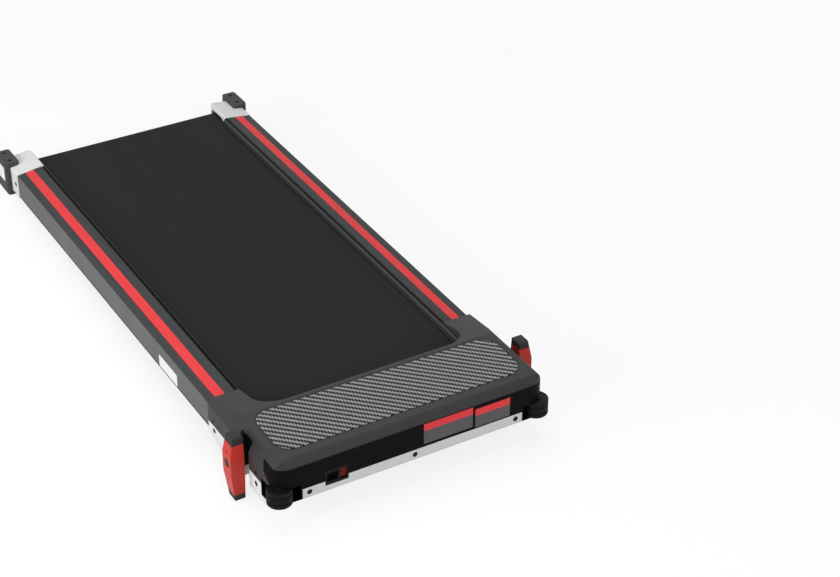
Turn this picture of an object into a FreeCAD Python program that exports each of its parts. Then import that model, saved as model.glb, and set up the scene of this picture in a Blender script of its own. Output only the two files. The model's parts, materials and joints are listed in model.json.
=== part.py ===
import FreeCAD, Part
import math
import os

# A two-sided walking pad: a treadmill belt on top, massage nubs on the belt's lower run.
# Each piece is drawn on a level pad: x runs across, y runs from the hood's rear edge towards the rear end,
# and z is measured from the middle plane of the side rails. At the end the whole pad is stood up on its
# legs and rear feet, with the origin at the bottom centre of its box. Left is -x, right is +x.

# Pad and side rails
pad_width = 520.0
rail_show_length = 900.0
rail_tuck_length = 66.0
rail_width = 56.0
rail_height = 50.0
rail_rise = 8.0
rail_wall = 2.5
lip_width = 8.5
lip_drop = 9.0
lip_wall = 1.2
crest_groove_inset = 1.0
crest_groove_width = 4.5
crest_groove_depth = 1.5
side_groove_drop = 47.3
side_groove_width = 1.6
side_groove_depth = 0.8
stripe_inset = 16.5
stripe_width = 17.5
stripe_depth = 0.8
stripe_proud = 0.3

# Walking belt, rollers and axles
belt_tuck = 4.5
belt_thickness = 2.0
belt_recess = 3.0
belt_gap = 0.3
front_roller_y = -112.0
rear_roller_inset = 31.0
roller_overhang = 1.0
axle_radius = 6.0
bearing_radius = 14.0
bearing_width = 8.0
running_gap = 0.05
rear_axle_seat = 20.0

# Decks and what carries them
deck_edge_inset = 4.0
deck_roller_gap = 12.0
treadmill_deck_thickness = 10.0
massage_deck_thickness = 8.0
cushion_thickness = 2.0
cushion_length = 46.0
cushion_width = 24.0
cushion_edge = 20.0
cross_member_count = 5
cross_member_width = 40.0
cross_member_wall = 2.0

# Massage nubs, a staggered field on the lower run
nub_rows = 22
nubs_per_row = 9
nub_first_y = 52.0
nub_rear_margin = 22.0
nub_side_margin = 25.75
nub_stagger_share = 0.5
nub_radius = 7.5
nub_height = 3.4
nub_rim_radius = 9.5
nub_rim_height = 0.8

# Rear caps and feet
cap_length = 78.0
cap_skin = 1.5
cap_inner_gap = 2.5
cap_plug_length = 40.0
cap_plug_fit = 0.25
cap_corner_round = 11.0
cap_edge_round = 2.5
cap_roller_recess = 7.0
cap_roller_room = 4.0
cap_recess_margin = 8.0
cap_recess_round = 14.0
axle_block_thickness = 3.0
axle_block_fit = 0.3
foot_width = 30.0
foot_length = 62.0
foot_half_height = 36.1
foot_stand_out = 11.0
foot_overhang = 20.0
foot_round = 6.0
foot_edge_round = 2.0
foot_hole_radius = 4.2
foot_hole_depth = 7.0
foot_hole_pitch = 34.0
tension_bolt_radius = 4.0
tension_head_radius = 6.5
tension_head_length = 4.0
tension_bolt_inset = 9.0
cap_screw_radius = 3.0
cap_screw_head_radius = 5.0
cap_screw_head_length = 2.6
cap_screw_length = 16.0
cap_screw_y_inset = 13.0

# Motor housing: the hood above the seam, the cover below it
shell_wall = 3.0
shell_side_gap = 0.3
shell_skirt = 2.2
seam_z = -7.0
seam_gap = 0.4
housing_front_y = -248.7
housing_corner_round = 34.0
hood_shoulder_round = 8.0
hood_lean = 16.0
hood_draft_z = 27.0
cover_shoulder_round = 12.0
hood_arm_top = 36.4
hood_slope_y = -97.0
hood_top = 58.0
hood_bevel_y = -241.0
hood_front_top = 42.0
housing_crease_round = 60.0
hood_brow_round = 6.0
cover_brow_round = 5.0
opening_side_gap = 3.0
opening_front_y = -90.0
opening_corner_round = 46.0
opening_belt_gap = 2.0
fascia_top_inset = 1.5
fascia_side_y = -200.0
fascia_low_y = -228.0
fascia_low_z = 8.0
fascia_gap = 0.5
panel_side_margin = 30.5
panel_rear_y = -104.3
panel_front_y = -221.0
panel_round = 30.0
panel_thickness = 1.4
panel_proud = 0.4
panel_border_width = 3.5
panel_border_depth = 0.8
cover_arm_bottom = 28.4
cover_slope_y = -80.0
cover_bottom = 51.0
cover_bevel_y = -197.0
cover_front_bottom = 27.3
ramp_side_gap = 4.0
ramp_rear_y = -58.0
ramp_front_y = -122.0
ramp_rear_bottom = 26.6
ramp_strip_thickness = 0.9
ramp_strip_margin = 5.0
cover_panel_side_margin = 36.5
cover_panel_front_y = -186.0
cover_panel_inner_y = -140.0
cover_panel_rear_y = -92.0
cover_panel_arm_width = 34.0
cover_panel_slant = 12.0
cover_panel_thickness = 1.2
cover_panel_proud = 0.4
vent_count = 9
vent_length = 15.0
vent_width = 3.0
vent_pitch = 21.0
vent_y = -215.0
cover_screw_radius = 2.5
cover_screw_head_radius = 5.0
cover_screw_head_length = 2.0
cover_screw_length = 11.0
hood_screw_spots = ((-20.0, 2.0), (-182.0, 2.0))
cover_screw_spots = ((-22.0, -16.5), (-181.0, -20.5))
front_screw_inset = 12.8
front_screw_drop = 9.4

# Front frame and drive
frame_sheet = 3.0
frame_plate = 4.0
frame_front_y = -181.0
frame_foot_rear_y = -142.0
frame_neck_y = -118.0
frame_tongue_rear_y = -8.0
frame_plate_top = 22.0
pulley_width = 18.0
roller_pulley_radius = 17.0
roller_pulley_bore = 8.0
motor_pulley_radius = 11.0
pulley_flange = 1.6
pulley_flange_height = 2.4
drive_belt_thickness = 2.2
drive_belt_width = 13.0
motor_radius = 27.0
motor_y = -165.0
motor_z = -8.0
motor_drive_share = 0.265
motor_length_share = 0.38
motor_bell_length = 12.0
motor_bell_step = 2.0
motor_shaft_radius = 5.0
motor_shaft_tail = 26.0
fan_radius = 25.0
fan_hub_radius = 9.0
fan_length = 13.0
fan_clearance = 5.0
fan_blade_count = 9
fan_blade_thickness = 2.0
cradle_end_inset = 22.0
cradle_half_share = 0.45
controller_side_gap = 18.0
controller_length_share = 0.23
controller_height = 34.0
controller_margin = 4.0
controller_fin_count = 8
controller_fin_height = 9.0
controller_fin_thickness = 2.4

# Power inlet and rocker switch in the front face
inlet_side_margin = 93.0
inlet_width = 43.0
inlet_bottom_z = -16.0
inlet_top_z = 13.0
inlet_depth = 26.0
inlet_fit = 0.3
socket_width = 21.0
socket_height = 17.0
socket_depth = 17.0
socket_inset = 3.0
socket_pin_radius = 1.6
socket_pin_length = 11.0
socket_pin_spread = 5.5
rocker_width = 11.0
rocker_height = 19.0
rocker_depth = 9.0
rocker_inset = 3.5
rocker_gap = 1.0
rocker_taper = 2.0
rocker_pin_radius = 1.5
rocker_pin_reach = 2.4
rocker_pin_end_gap = 0.3
rocker_tilt = 7.0
rocker_room_depth = 16.0

# Swing-out legs
leg_y = -136.0
leg_z = 4.0
leg_reach_down = 77.0
leg_reach_up = 53.0
leg_width = 31.0
leg_end_width = 24.0
leg_thickness = 25.0
leg_gap = 5.5
leg_taper = 7.0
leg_straight_share = 0.3
leg_bow_round = 40.0
leg_pad_length = 14.5
leg_pad_round = 5.0
leg_edge_round = 1.6
leg_pocket_depth = 16.5
leg_pocket_half_width = 20.0
leg_pocket_top = 45.0
leg_liner = 1.5
leg_liner_depth = 4.0
leg_hub_radius = 14.0
leg_hub_sink = 7.0
leg_hub_gap = 0.6
leg_bolt_radius = 5.0
leg_bolt_head_radius = 8.0
leg_bolt_head_length = 3.0
leg_bolt_head_room = 0.6
leg_bolt_tail = 6.0
leg_nut_radius = 9.0
leg_nut_corners = 6
leg_dimple_radius = 2.2
leg_dimple_depth = 2.5
leg_dimple_pitch = 11.0

# Corner wheels on upright axles
wheel_side_inset = 15.1
wheel_y = -235.9
wheel_radius = 22.0
wheel_height = 30.0
wheel_bottom_z = -27.0
wheel_edge_round = 2.0
wheel_groove_width = 3.0
wheel_groove_depth = 1.5
wheel_groove_shares = (0.3, 0.7)
wheel_axle_radius = 5.0
wheel_axle_head = 8.0
wheel_end_gap = 0.5
wheel_side_gap = 11.0
wheel_box_wall = 3.0

# Soles trimmed level with the floor, and how far cuts run past what they cut
sole_trim = 1.6
overrun = 10.0

# Sizes that follow from those above
pad_half = pad_width / 2
rail_half = rail_height / 2
crest_x = pad_half - rail_width
lip_x = crest_x - lip_width
belt_half_width = lip_x + belt_tuck
roller_half_length = belt_half_width + roller_overhang
deck_half_width = belt_half_width - deck_edge_inset
nub_pitch_x = (belt_half_width - nub_side_margin) * 2 / (nubs_per_row - nub_stagger_share)
rail_slope = rail_rise / rail_width
belt_half_height = rail_half - belt_recess
belt_inner_radius = belt_half_height - belt_thickness
roller_radius = belt_inner_radius - belt_gap
rail_front_y = -rail_tuck_length
cap_inner_x = belt_half_width + cap_inner_gap
rear_axle_half_length = cap_inner_x + rear_axle_seat
cap_rear_y = rail_show_length + cap_length
rear_roller_y = cap_rear_y - rear_roller_inset
nub_last_y = rail_show_length - nub_rear_margin
foot_outer_x = pad_half + foot_stand_out
foot_inner_x = foot_outer_x - foot_width
foot_rear_y = cap_rear_y + foot_overhang
foot_front_y = foot_rear_y - foot_length
foot_mid_y = (foot_front_y + foot_rear_y) / 2
shell_half = pad_half + shell_side_gap + shell_skirt
hood_top_half_width = shell_half - hood_lean
opening_half_width = belt_half_width + opening_side_gap
panel_half_width = shell_half - panel_side_margin
ramp_half_width = lip_x - ramp_side_gap
cover_panel_half_width = shell_half - cover_panel_side_margin
inlet_left_x = inlet_side_margin - shell_half
inlet_right_x = inlet_left_x + inlet_width
pocket_x = shell_half - leg_pocket_depth
plate_outer_x = pocket_x - shell_wall
plate_inner_x = plate_outer_x - frame_plate
frame_room = plate_inner_x * 2
motor_right_x = plate_inner_x - motor_drive_share * frame_room
motor_left_x = motor_right_x - motor_length_share * frame_room
cradle_left_x = motor_left_x + cradle_end_inset
cradle_right_x = motor_right_x - cradle_end_inset
controller_left_x = controller_side_gap - plate_inner_x
controller_right_x = controller_left_x + controller_length_share * frame_room
leg_inner_x = shell_half + leg_gap
leg_outer_x = leg_inner_x + leg_thickness
pocket_front_y = leg_y - leg_pocket_half_width
pocket_rear_y = leg_y + leg_pocket_half_width
hood_bottom_z = seam_z + seam_gap / 2
cover_top_z = seam_z - seam_gap / 2
floor_z = -cover_bottom + shell_wall
pan_top_z = floor_z + frame_sheet
wheel_x = shell_half - wheel_side_inset
wheel_top_z = wheel_bottom_z + wheel_height
wheel_room_bottom = wheel_bottom_z - wheel_end_gap
wheel_room_top = wheel_top_z + wheel_end_gap
wheel_box_inner_x = wheel_x - wheel_radius - wheel_side_gap - wheel_box_wall
front_screw_reach = wheel_box_inner_x - front_screw_inset
wheel_box_rear_y = wheel_y + wheel_radius + wheel_side_gap + wheel_box_wall
wheel_box_bottom = wheel_room_bottom - wheel_box_wall
wheel_box_top = wheel_room_top + wheel_box_wall
pulley_left_x = roller_half_length
pulley_right_x = pulley_left_x + pulley_width
cross_top_z = belt_inner_radius - treadmill_deck_thickness - cushion_thickness
cross_bottom_z = -belt_inner_radius + massage_deck_thickness
deck_front_y = front_roller_y + roller_radius + deck_roller_gap
deck_rear_y = rear_roller_y - roller_radius - deck_roller_gap
inlet_rear_y = housing_front_y + inlet_depth

Vector = FreeCAD.Vector
across = Vector(1, 0, 0)
along = Vector(0, 1, 0)
upward = Vector(0, 0, 1)
centre = Vector(0, 0, 0)


def block(x_span, y_span, z_span):
    corner = Vector(x_span[0], y_span[0], z_span[0])
    return Part.makeBox(x_span[1] - x_span[0], y_span[1] - y_span[0], z_span[1] - z_span[0], corner)


def rod(radius, start, end):
    return Part.makeCylinder(radius, (end - start).Length, start, end - start)


def tube(outer_radius, inner_radius, start, end):
    return rod(outer_radius, start, end).cut(rod(inner_radius, start, end))


def mirrored(shape):
    return shape.mirror(centre, across)


# An outline is a list of (first, second, round) corners, with the round as an arc between its two sides.
def outline_wire(corners, place):
    spots = [Vector(first, second, 0) for first, second, _ in corners]
    edges = []
    ends = []
    for index, (_, _, radius) in enumerate(corners):
        spot = spots[index]
        back = (spots[index - 1] - spot).normalize()
        ahead = (spots[(index + 1) % len(spots)] - spot).normalize()
        if radius == 0:
            ends.append((spot, spot, spot))
            continue
        half_angle = back.getAngle(ahead) / 2
        reach = radius / math.tan(half_angle)
        bisector = (back + ahead).normalize()
        middle = spot + bisector * (radius / math.sin(half_angle) - radius)
        ends.append((spot + back * reach, middle, spot + ahead * reach))
    for index, (start, middle, end) in enumerate(ends):
        if corners[index][2] > 0:
            edges.append(Part.Arc(place(start), place(middle), place(end)).toShape())
        following = ends[(index + 1) % len(ends)][0]
        edges.append(Part.makeLine(place(end), place(following)))
    return Part.Wire(edges)


def prism_along_x(corners, x_span):
    face = Part.Face(outline_wire(corners, lambda spot: Vector(x_span[0], spot.x, spot.y)))
    return face.extrude(across * (x_span[1] - x_span[0]))


def prism_along_y(corners, y_span):
    face = Part.Face(outline_wire(corners, lambda spot: Vector(spot.x, y_span[0], spot.y)))
    return face.extrude(along * (y_span[1] - y_span[0]))


def prism_along_z(corners, z_span):
    face = Part.Face(outline_wire(corners, lambda spot: Vector(spot.x, spot.y, z_span[0])))
    return face.extrude(upward * (z_span[1] - z_span[0]))


def sharp(points):
    return [(first, second, 0) for first, second in points]


def soften(shape, radius, chosen):
    return shape.makeFillet(radius, [edge for edge in shape.Edges if chosen(edge.BoundBox)])


# The band that fits round two pulleys, each given as (y, z, radius).
def loop_band(first, second, x_span):
    start = Vector(0, first[0], first[1])
    end = Vector(0, second[0], second[1])
    run = end - start
    direction = run / run.Length
    normal = direction.cross(across)
    lean = (first[2] - second[2]) / run.Length
    upper = direction * lean + normal * math.sqrt(1 - lean * lean)
    lower = direction * lean - normal * math.sqrt(1 - lean * lean)
    spots = [start + upper * first[2], end + upper * second[2]]
    spots += [end + lower * second[2], start + lower * first[2]]
    band = prism_along_x(sharp([(spot.y, spot.z) for spot in spots]), x_span)
    for spot, radius in ((start, first[2]), (end, second[2])):
        band = band.fuse(rod(radius, spot + across * x_span[0], spot + across * x_span[1]))
    return band.removeSplitter()


def rail_top(x):
    return rail_half + (pad_half - x) * rail_slope


# The outer outline of the right rail, from its outer bottom corner round to its inner bottom corner.
def rail_outline():
    stripe_outer = pad_half - stripe_inset
    stripe_inner = stripe_outer - stripe_width
    groove_inner = crest_x + crest_groove_inset
    groove_outer = groove_inner + crest_groove_width
    side_groove_z = rail_half - side_groove_drop
    lip_rise = lip_drop / lip_width
    lip_top = rail_half + rail_rise - lip_drop
    lip_under = lip_top - lip_wall
    return sharp([
        (pad_half, -rail_half),
        (pad_half, side_groove_z - side_groove_width),
        (pad_half - side_groove_depth, side_groove_z - side_groove_width),
        (pad_half - side_groove_depth, side_groove_z),
        (pad_half, side_groove_z),
        (pad_half, rail_half),
        (stripe_outer, rail_top(stripe_outer)),
        (stripe_outer, rail_top(stripe_outer) - stripe_depth),
        (stripe_inner, rail_top(stripe_inner) - stripe_depth),
        (stripe_inner, rail_top(stripe_inner)),
        (groove_outer, rail_top(groove_outer)),
        (groove_outer, rail_top(groove_outer) - crest_groove_depth),
        (groove_inner, rail_top(groove_inner) - crest_groove_depth),
        (groove_inner, rail_top(groove_inner)),
        (crest_x, rail_top(crest_x)),
        (lip_x, lip_top),
        (lip_x, lip_under),
        (crest_x, lip_under + lip_width * lip_rise),
        (crest_x, -rail_half),
    ])


# The hollow of the right rail, shrunk by a clearance for what plugs into it.
def rail_hollow(clearance, y_span):
    outer = pad_half - rail_wall - clearance
    inner = crest_x + rail_wall + clearance
    drop = rail_wall + stripe_depth + clearance
    floor = -rail_half + rail_wall + clearance
    corners = [
        (outer, floor),
        (outer, rail_top(outer) - drop),
        (inner, rail_top(inner) - drop),
        (inner, floor),
    ]
    return prism_along_y(sharp(corners), y_span)


# A plain body round the right rail that shells are cut back to.
def rail_clearance_body():
    gap = shell_side_gap
    lip_top = rail_half + rail_rise - lip_drop
    corners = [
        (pad_half + gap, -rail_half - gap),
        (pad_half + gap, rail_half + gap),
        (crest_x, rail_top(crest_x) + gap),
        (lip_x - gap, lip_top + gap),
        (lip_x - gap, -rail_half - gap),
    ]
    return prism_along_y(sharp(corners), (rail_front_y - gap, overrun))


def right_rail():
    span = (rail_front_y, rail_show_length)
    rail = prism_along_y(rail_outline(), span).cut(rail_hollow(0, span))
    return cut_all(rail, side_screws(hood_screw_spots + cover_screw_spots))


# The red strip lies in the recess of the rail's sloping top.
def right_stripe():
    outer = pad_half - stripe_inset
    inner = outer - stripe_width
    corners = [
        (outer, rail_top(outer) - stripe_depth),
        (outer, rail_top(outer) + stripe_proud),
        (inner, rail_top(inner) + stripe_proud),
        (inner, rail_top(inner) - stripe_depth),
    ]
    return prism_along_y(sharp(corners), (0, rail_show_length))


def cross_member_ys():
    first = deck_front_y + cross_member_width
    last = deck_rear_y - cross_member_width
    step = (last - first) / (cross_member_count - 1)
    return [first + step * index for index in range(cross_member_count)]


# Steel box tubes from rail to rail inside the belt loop.
def cross_members():
    tubes = []
    for y in cross_member_ys():
        half = cross_member_width / 2
        outer = block((-crest_x, crest_x), (y - half, y + half), (cross_bottom_z, cross_top_z))
        hollow = block(
            (-crest_x, crest_x),
            (y - half + cross_member_wall, y + half - cross_member_wall),
            (cross_bottom_z + cross_member_wall, cross_top_z - cross_member_wall),
        )
        tubes.append(outer.cut(hollow))
    return Part.makeCompound(tubes)


# Rubber blocks between the cross members and the treadmill deck.
def deck_cushions():
    cushions = []
    reach = deck_half_width - cushion_edge
    z_span = (cross_top_z, cross_top_z + cushion_thickness)
    for y in cross_member_ys():
        for left in (-reach, -cushion_length / 2, reach - cushion_length):
            y_span = (y - cushion_width / 2, y + cushion_width / 2)
            cushions.append(block((left, left + cushion_length), y_span, z_span))
    return Part.makeCompound(cushions)


def treadmill_deck():
    z_span = (belt_inner_radius - treadmill_deck_thickness, belt_inner_radius)
    return block((-deck_half_width, deck_half_width), (deck_front_y, deck_rear_y), z_span)


def massage_deck():
    z_span = (-belt_inner_radius, -belt_inner_radius + massage_deck_thickness)
    return block((-deck_half_width, deck_half_width), (deck_front_y, deck_rear_y), z_span)


def walking_belt():
    span = (-belt_half_width, belt_half_width)
    outer = loop_band((front_roller_y, 0, belt_half_height), (rear_roller_y, 0, belt_half_height), span)
    inner = loop_band((front_roller_y, 0, belt_inner_radius), (rear_roller_y, 0, belt_inner_radius), span)
    return outer.cut(inner)


# One nub is a low dome on a flat rim, pointing down from the belt.
def massage_nubs():
    ball_radius = (nub_radius ** 2 + nub_height ** 2) / (2 * nub_height)
    base_angle = math.degrees(math.asin((ball_radius - nub_height) / ball_radius))
    rim_z = -belt_half_height - nub_rim_height
    ball_centre = Vector(0, 0, rim_z + ball_radius - nub_height)
    dome = Part.makeSphere(ball_radius, ball_centre, -upward, base_angle, 90, 360)
    rim = rod(nub_rim_radius, Vector(0, 0, -belt_half_height), Vector(0, 0, rim_z))
    nub = rim.fuse(dome)
    row_step = (nub_last_y - nub_first_y) / (nub_rows - 1)
    row_reach = nub_pitch_x * (nubs_per_row - 1) / 2
    nubs = []
    for row in range(nub_rows):
        shift = nub_pitch_x * nub_stagger_share / (2 if row % 2 else -2)
        for column in range(nubs_per_row):
            x = shift - row_reach + column * nub_pitch_x
            nubs.append(nub.translated(Vector(x, nub_first_y + row * row_step, 0)))
    return Part.makeCompound(nubs)


def roller(y):
    start = Vector(-roller_half_length, y, 0)
    end = Vector(roller_half_length, y, 0)
    return tube(roller_radius, bearing_radius, start, end)


# A bearing at each end of a roller, pressed into its bore and running on the axle.
def roller_bearings(y):
    rings = []
    for x in (-roller_half_length, roller_half_length - bearing_width):
        start = Vector(x, y, 0)
        rings.append(tube(bearing_radius, axle_radius + running_gap, start, start + across * bearing_width))
    return Part.makeCompound(rings)


def axle(y, half_length):
    return rod(axle_radius, Vector(-half_length, y, 0), Vector(half_length, y, 0))


# A pale moulded cap closes the rail, carries the rear axle and holds the foot in its outer corner.
def right_rear_cap():
    corners = [
        (pad_half + cap_skin, -rail_half - cap_skin),
        (pad_half + cap_skin, rail_half + cap_skin),
        (cap_inner_x, rail_top(cap_inner_x) + cap_skin),
        (cap_inner_x, -rail_half - cap_skin),
    ]
    cap = prism_along_y(sharp(corners), (rail_show_length, cap_rear_y))

    def at_rear_corner(box):
        return box.YMin > cap_rear_y - overrun and box.ZLength > rail_height

    def on_rim(box):
        return box.ZLength < rail_height / 2 and box.YMax > rail_show_length + overrun

    cap = soften(cap, cap_corner_round, at_rear_corner)
    cap = soften(cap, cap_edge_round, on_rim)
    plug_span = (rail_show_length - cap_plug_length, rail_show_length)
    cap = cap.fuse(rail_hollow(cap_plug_fit, plug_span))
    cap = cap.cut(cap_recess(0, (cap_inner_x - overrun, cap_inner_x + cap_roller_recess)))
    cap = cap.cut(foot_block())
    cap = cap.cut(axle(rear_roller_y, rear_axle_half_length))
    for screw in (right_tension_bolt(), right_cap_screw()):
        cap = cap.cut(screw)
    return cap.removeSplitter()


# The arched recess in the cap's inner face, smaller all round by the clearance.
def cap_recess(clearance, x_span):
    reach = belt_half_height + cap_roller_room - clearance
    front_y = rail_show_length + cap_recess_margin + clearance
    rear_y = cap_rear_y - cap_recess_margin - clearance
    arch = [
        (front_y, -reach, 0),
        (front_y, reach, cap_recess_round),
        (rear_y, reach, cap_recess_round),
        (rear_y, -reach, 0),
    ]
    return prism_along_x(arch, x_span)


# The black block in the recess that the rear axle's end sits in.
def right_axle_block():
    face_x = cap_inner_x + cap_roller_recess - axle_block_thickness
    plate = cap_recess(axle_block_fit, (face_x, cap_inner_x + cap_roller_recess))
    return plate.cut(axle(rear_roller_y, rear_axle_half_length)).cut(right_tension_bolt())


def foot_block():
    z_span = (-foot_half_height, foot_half_height)
    corners = [
        (foot_inner_x, foot_front_y, foot_round),
        (foot_outer_x, foot_front_y, foot_round),
        (foot_outer_x, foot_rear_y, foot_round),
        (foot_inner_x, foot_rear_y, foot_round),
    ]
    return prism_along_z(corners, z_span)


# A rubber foot block with two blind holes in its upper and lower face.
def right_rear_foot():
    foot = soften(foot_block(), foot_edge_round, lambda box: abs(box.ZMin) > foot_half_height - foot_round)
    hole_x = (foot_inner_x + foot_outer_x) / 2
    for y in (foot_mid_y - foot_hole_pitch / 2, foot_mid_y + foot_hole_pitch / 2):
        for side in (-1, 1):
            mouth = Vector(hole_x, y, side * (foot_half_height + overrun))
            floor = Vector(hole_x, y, side * (foot_half_height - foot_hole_depth))
            foot = foot.cut(rod(foot_hole_radius, mouth, floor))
    return foot


# The bolt that draws the rear axle back, with its head on the rear face of the cap.
def right_tension_bolt():
    x = cap_inner_x + tension_bolt_inset
    seat = Vector(x, cap_rear_y, 0)
    shank = rod(tension_bolt_radius, Vector(x, rear_roller_y + axle_radius, 0), seat)
    return shank.fuse(rod(tension_head_radius, seat, seat + along * tension_head_length))


def right_cap_screw():
    y = rail_show_length + cap_screw_y_inset
    face = Vector(pad_half + cap_skin, y, 0)
    head = rod(cap_screw_head_radius, face, face - across * cap_screw_head_length)
    return head.fuse(rod(cap_screw_radius, face, face - across * cap_screw_length))


# A housing shell's solid is a side view, a plan and a front view crossed with each other.
def housing_body(side_view, front_view, inset):
    half_width = shell_half - inset
    front_y = housing_front_y + inset
    corner_round = housing_corner_round - inset
    plan = [
        (-half_width, front_y, corner_round),
        (half_width, front_y, corner_round),
        (half_width, 0, 0),
        (-half_width, 0, 0),
    ]
    body = prism_along_x(side_view, (-half_width, half_width))
    body = body.common(prism_along_z(plan, (-cover_bottom - overrun, hood_top + overrun)))
    mirror_view = [(-x, z, corner) for x, z, corner in reversed(front_view)]
    return body.common(prism_along_y(front_view + mirror_view, (front_y - overrun, overrun)))


# The hood's sides lean in above the rails, and its front ends in a steep brow.
def hood_body(inset):
    low = hood_bottom_z - (overrun if inset else 0)
    side_view = [
        (-inset, low, 0),
        (-inset, hood_arm_top - inset, 0),
        (hood_slope_y, hood_top - inset, housing_crease_round),
        (hood_bevel_y + inset, hood_top - inset, hood_brow_round),
        (housing_front_y + inset, hood_front_top - inset, hood_brow_round),
        (housing_front_y + inset, low, 0),
    ]
    front_view = [
        (shell_half - inset, low, 0),
        (shell_half - inset, hood_draft_z, 0),
        (hood_top_half_width - inset, hood_top - inset, hood_shoulder_round),
    ]
    return housing_body(side_view, front_view, inset)


def cover_body(inset):
    high = cover_top_z + (overrun if inset else 0)
    side_view = [
        (-inset, high, 0),
        (-inset, -cover_arm_bottom + inset, 0),
        (cover_slope_y, -cover_bottom + inset, housing_crease_round),
        (cover_bevel_y, -cover_bottom + inset, housing_crease_round),
        (housing_front_y + inset, -cover_front_bottom + inset, cover_brow_round),
        (housing_front_y + inset, high, 0),
    ]
    front_view = [
        (shell_half - inset, high, 0),
        (shell_half - inset, -cover_bottom + inset, cover_shoulder_round - inset),
    ]
    return housing_body(side_view, front_view, inset)


# The rounded bay in the hood where the belt comes out.
def belt_opening(growth):
    half = opening_half_width + growth
    front = opening_front_y - growth
    corners = [
        (-half, front, opening_corner_round),
        (half, front, opening_corner_round),
        (half, overrun, 0),
        (-half, overrun, 0),
    ]
    return prism_along_z(corners, (belt_half_height + opening_belt_gap - growth, hood_top + overrun))


# The pocket in the housing's side that a leg swings in front of.
def leg_pocket(growth):
    x_span = (pocket_x - growth, shell_half + overrun)
    y_span = (pocket_front_y - growth, pocket_rear_y + growth)
    return block(x_span, y_span, (-cover_bottom - overrun, leg_pocket_top + growth))


def wheel_notch():
    x_span = (wheel_box_inner_x, shell_half + overrun)
    y_span = (housing_front_y - overrun, wheel_box_rear_y)
    return block(x_span, y_span, (wheel_box_bottom, wheel_box_top))


def inlet_notch(growth):
    x_span = (inlet_left_x - growth, inlet_right_x + growth)
    y_span = (housing_front_y - overrun, inlet_rear_y)
    return block(x_span, y_span, (inlet_bottom_z - growth, inlet_top_z + growth))


def both_sides(shape):
    return [shape, mirrored(shape)]


def cut_all(shape, tools):
    for tool in tools:
        shape = shape.cut(tool)
    return shape


# The whole upper shell, before the black fascia is parted from it.
def upper_shell():
    pockets = both_sides(leg_pocket(0))
    grown_pockets = both_sides(leg_pocket(shell_wall))
    outer = cut_all(hood_body(0), pockets + [belt_opening(0)])
    inner = cut_all(hood_body(shell_wall), grown_pockets + [belt_opening(shell_wall)])
    shell = outer.cut(inner)
    under_half = opening_half_width + shell_wall
    under_top = belt_half_height + opening_belt_gap
    under_front = opening_front_y - shell_wall
    under = block((-under_half, under_half), (under_front, overrun), (hood_bottom_z - overrun, under_top))
    tools = both_sides(rail_clearance_body()) + both_sides(wheel_notch())
    return cut_all(shell, tools + [under, inlet_notch(inlet_fit)] + both_sides(leg_bolt_hole()))


# The black fascia wraps the front below the bevel and runs up behind the front corners.
def fascia_region():
    top = hood_front_top - fascia_top_inset
    low = hood_bottom_z - overrun
    corners = [
        (housing_front_y - overrun, top),
        (fascia_side_y, top),
        (fascia_low_y, fascia_low_z),
        (fascia_low_y, low),
        (housing_front_y - overrun, low),
    ]
    return prism_along_x(sharp(corners), (-shell_half - overrun, shell_half + overrun))


def largest_solid(shape):
    return max(shape.Solids, key=lambda solid: solid.Volume)


def motor_hood():
    steps = (along * fascia_gap, upward * fascia_gap, -upward * fascia_gap)
    grown_regions = [fascia_region().translated(step) for step in steps]
    tools = grown_regions + [panel_body(), panel_border()] + side_screws(hood_screw_spots)
    return largest_solid(cut_all(upper_shell(), tools))


def front_fascia():
    return largest_solid(upper_shell().common(fascia_region()))


# The hood panel's plan, larger all round by the growth.
def panel_prism(growth, z_span):
    half = panel_half_width + growth
    front_y = panel_front_y - growth
    rear_y = panel_rear_y + growth
    corner_round = panel_round + growth
    corners = [
        (-half, front_y, corner_round),
        (half, front_y, corner_round),
        (half, rear_y, corner_round),
        (-half, rear_y, corner_round),
    ]
    return prism_along_z(corners, z_span)


# A carbon-look plate let into the flat of the hood.
def panel_body():
    return panel_prism(0, (hood_top + panel_proud - panel_thickness, hood_top + panel_proud))


# The shallow step in the hood round the panel.
def panel_border():
    return panel_prism(panel_border_width, (hood_top - panel_border_depth, hood_top + overrun))


# What is cut away outside the sloping ramp between the cover's arms.
def ramp_cut(growth):
    half = ramp_half_width + growth
    low = -cover_bottom - overrun
    corners = [
        (overrun, low),
        (overrun, -ramp_rear_bottom + growth),
        (ramp_rear_y, -ramp_rear_bottom + growth),
        (ramp_front_y - growth, -cover_bottom + growth),
        (ramp_front_y - growth, low),
    ]
    return prism_along_x(sharp(corners), (-half, half))


def vents():
    reach = vent_pitch * (vent_count - 1) / 2
    slots = []
    for index in range(vent_count):
        x = index * vent_pitch - reach
        x_span = (x - vent_length / 2, x + vent_length / 2)
        z_span = (-cover_bottom - overrun, -cover_front_bottom + overrun)
        slots.append(block(x_span, (vent_y - vent_width / 2, vent_y + vent_width / 2), z_span))
    return slots


def bottom_cover():
    pockets = both_sides(leg_pocket(0))
    grown_pockets = both_sides(leg_pocket(shell_wall))
    outer = cut_all(cover_body(0), pockets + [ramp_cut(0)])
    inner = cut_all(cover_body(shell_wall), grown_pockets + [ramp_cut(shell_wall)])
    shell = outer.cut(inner)
    window_y = (ramp_rear_y, overrun)
    top = cover_top_z + overrun
    window = block((-ramp_half_width, ramp_half_width), window_y, (-cover_bottom - overrun, top))
    tools = both_sides(rail_clearance_body()) + both_sides(wheel_notch()) + vents()
    belt_room = block((-lip_x, lip_x), window_y, (-belt_half_height - opening_belt_gap, top))
    tools += [window, belt_room, inlet_notch(inlet_fit), cover_panel_body()]
    tools += side_screws(cover_screw_spots) + front_screws()
    tools += both_sides(leg_bolt_hole())
    return largest_solid(cut_all(shell, tools))


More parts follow.
